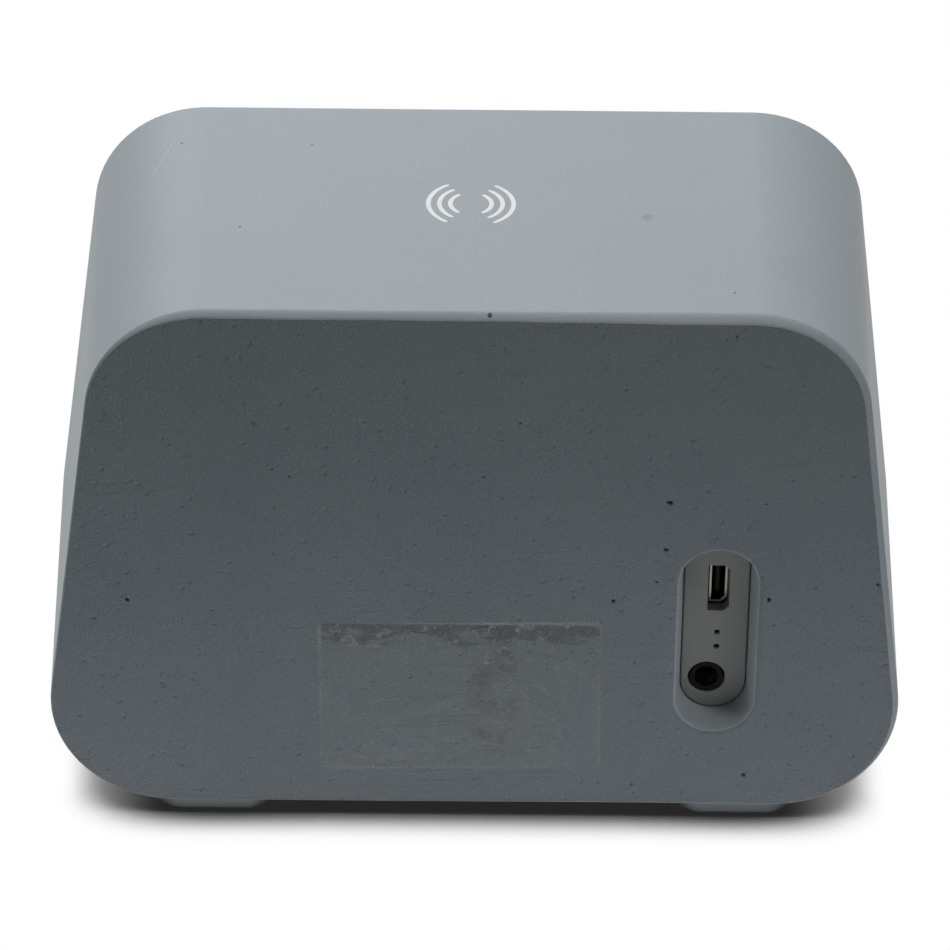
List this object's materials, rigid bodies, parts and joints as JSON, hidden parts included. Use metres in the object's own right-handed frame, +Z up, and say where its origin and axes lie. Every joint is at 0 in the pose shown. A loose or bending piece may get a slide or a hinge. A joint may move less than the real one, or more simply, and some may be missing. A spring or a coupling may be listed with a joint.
{
  "type": "desk speaker with wireless charging pad",
  "caption": "Rounded cast cement desk speaker with a wireless charging pad in its flat top, a cloth grille with keys in front, and a port pocket in the back.",
  "frame": {"origin": "on the table under the middle of the body, at the feet's lower faces", "axes": "+Z up, -Y towards the grille at the front, +Y towards the ports in the back, +X to the right seen from the front"},
  "size_m": [0.1288, 0.0582, 0.0885],
  "materials": {
    "cement": "cast grey cement, smooth on the moulded faces and screeded rough on the back",
    "foot_rubber": "grey moulded rubber",
    "panel_plastic": "grey moulded plastic, fine grain",
    "clear_acrylic": "smoked clear plastic",
    "socket_steel": "plated sheet steel",
    "socket_plastic": "black moulded plastic",
    "contact_metal": "plated contact",
    "light_body": "white light body",
    "frame_plastic": "black moulded plastic",
    "knit_cloth": "charcoal knitted acoustic cloth",
    "key_rubber": "dark moulded keys",
    "zinc_steel": "zinc plated",
    "insert_brass": "turned brass",
    "foam": "closed cell foam",
    "basket_steel": "black coated steel",
    "ferrite": "sintered ferrite",
    "former_foil": "foil former",
    "copper": "enamelled copper wire",
    "cone_paper": "coated black paper",
    "surround_rubber": "moulded rubber roll",
    "spider_cloth": "resin dipped cloth",
    "fibre": "pressed fibre board",
    "circuit_board": "green solder mask",
    "chip_plastic": "black chip package",
    "module_shield": "tinned shield",
    "can_metal": "aluminium can",
    "battery_wrap": "silver laminate pouch",
    "lead_sheath": "thin lead sheath"
  },
  "bodies": {
    "housing": {"concrete_shell": "cement", "foot_front_left": "foot_rubber", "foot_front_right": "foot_rubber", "foot_back_left": "foot_rubber", "foot_back_right": "foot_rubber", "port_panel": "panel_plastic", "light_pipes": "clear_acrylic", "usb_shell": "socket_steel", "usb_tongue": "socket_plastic", "aux_jack": "socket_plastic", "jack_sleeve": "contact_metal", "status_leds": "light_body", "grille_frame": "frame_plastic", "front_baffle": "frame_plastic", "coil_tray": "frame_plastic", "grille_cloth": "knit_cloth", "baffle_screws": "zinc_steel", "driver_screws": "zinc_steel", "board_screws": "zinc_steel", "tray_screws": "zinc_steel", "charger_screws": "zinc_steel", "key_board_screws": "zinc_steel", "baffle_inserts": "insert_brass", "tray_inserts": "insert_brass", "terminal_tabs": "insert_brass", "baffle_gasket": "foam", "driver_gasket": "foam", "battery_pad": "foam", "driver_basket": "basket_steel", "top_plate": "basket_steel", "yoke": "basket_steel", "magnet": "ferrite", "ferrite_disc": "ferrite", "charging_coil": "copper", "surround": "surround_rubber", "spider": "spider_cloth", "terminal_strip": "fibre", "main_board": "circuit_board", "charger_board": "circuit_board", "key_board": "circuit_board", "amplifier_chip": "chip_plastic", "charger_chips": "chip_plastic", "key_switches": "chip_plastic", "radio_module": "module_shield", "capacitors": "can_metal", "battery": "battery_wrap", "speaker_leads": "lead_sheath", "battery_leads": "lead_sheath", "charger_leads": "lead_sheath"},
    "cone_assembly": {"cone": "cone_paper", "dust_cap": "cone_paper", "coil_former": "former_foil", "voice_coil": "copper"},
    "power_button": {"power_button": "key_rubber"},
    "volume_down_button": {"volume_down_button": "key_rubber"},
    "volume_up_button": {"volume_up_button": "key_rubber"}
  },
  "joints": [
    {"name": "cone_travel", "type": "slide", "parent": "housing", "child": "cone_assembly", "axis": [0, -1, 0], "range_m": [-0.0015, 0.0015], "stiffness_N_per_m": 600, "deforming": ["surround", "spider"]},
    {"name": "power_press", "type": "slide", "parent": "housing", "child": "power_button", "axis": [0, 1, 0], "range_m": [0, 0.0004], "stiffness_N_per_m": 1500},
    {"name": "volume_down_press", "type": "slide", "parent": "housing", "child": "volume_down_button", "axis": [0, 1, 0], "range_m": [0, 0.0004], "stiffness_N_per_m": 1500},
    {"name": "volume_up_press", "type": "slide", "parent": "housing", "child": "volume_up_button", "axis": [0, 1, 0], "range_m": [0, 0.0004], "stiffness_N_per_m": 1500}
  ]
}
